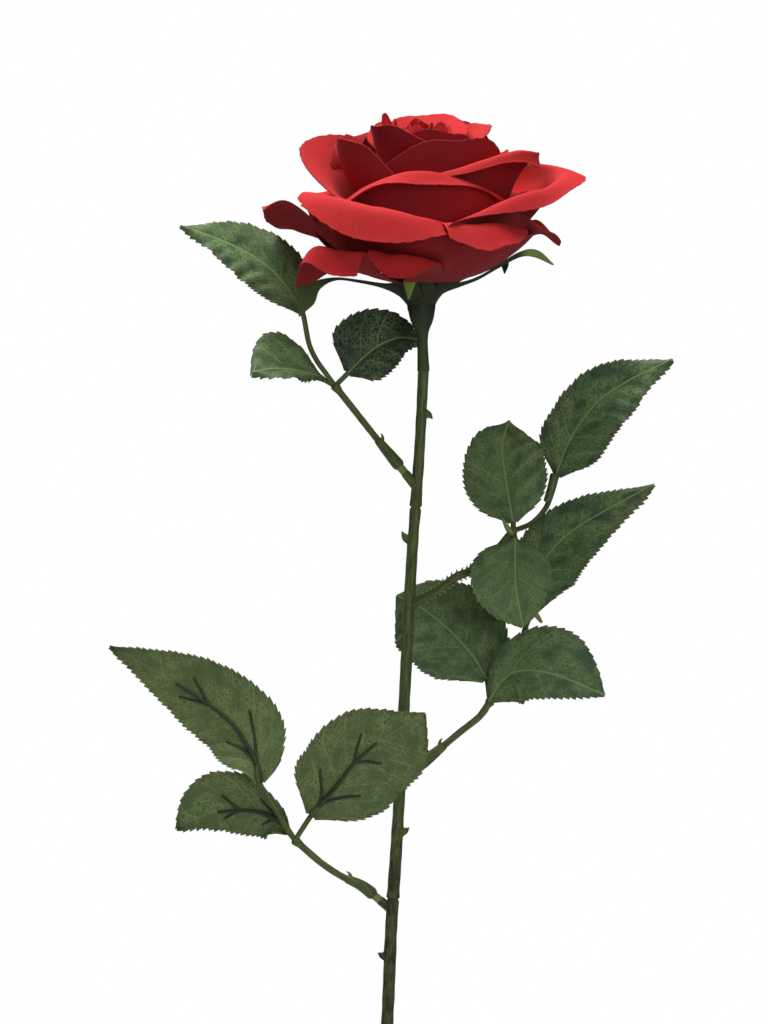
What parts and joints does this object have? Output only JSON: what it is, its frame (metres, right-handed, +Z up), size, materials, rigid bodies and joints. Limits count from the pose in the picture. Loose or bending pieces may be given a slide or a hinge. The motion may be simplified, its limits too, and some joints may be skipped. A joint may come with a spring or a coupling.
{
  "type": "artificial rose in a bud vase",
  "caption": "Single long-stemmed cloth rose with toothed leaves on side sprays, standing upright in a narrow-necked ceramic bud vase.",
  "frame": {"origin": "middle of the flat foot of the vase, on the surface it stands on", "axes": "+Z up along the vase, -Y the side that the bloom leans towards and faces"},
  "size_m": [0.1905, 0.0954, 0.515],
  "materials": {
    "glaze": "satin glaze over stoneware, off-white with fine speckle, foot ring unglazed",
    "stem": "moulded plastic over wire, olive green with brown mottling",
    "calyx": "moulded plastic, very dark green, light green sepal tips",
    "petal": "stiffened woven cloth, deep red, paler cut edges",
    "leaf": "stiffened printed cloth, dark green with pale veins, lighter below"
  },
  "bodies": {
    "root": {"vase": "glaze", "stem": "stem", "calyx": "calyx", "bloom": "petal", "stalk_a": "stem", "stalk_b": "stem", "stalk_c": "stem", "stalk_d": "stem", "leaf_a1": "leaf", "leaf_a2": "leaf", "leaf_a3": "leaf", "leaf_b1": "leaf", "leaf_b2": "leaf", "leaf_b3": "leaf", "leaf_c1": "leaf", "leaf_c2": "leaf", "leaf_c3": "leaf", "leaf_d1": "leaf", "leaf_d2": "leaf", "leaf_d3": "leaf"}
  },
  "joints": []
}
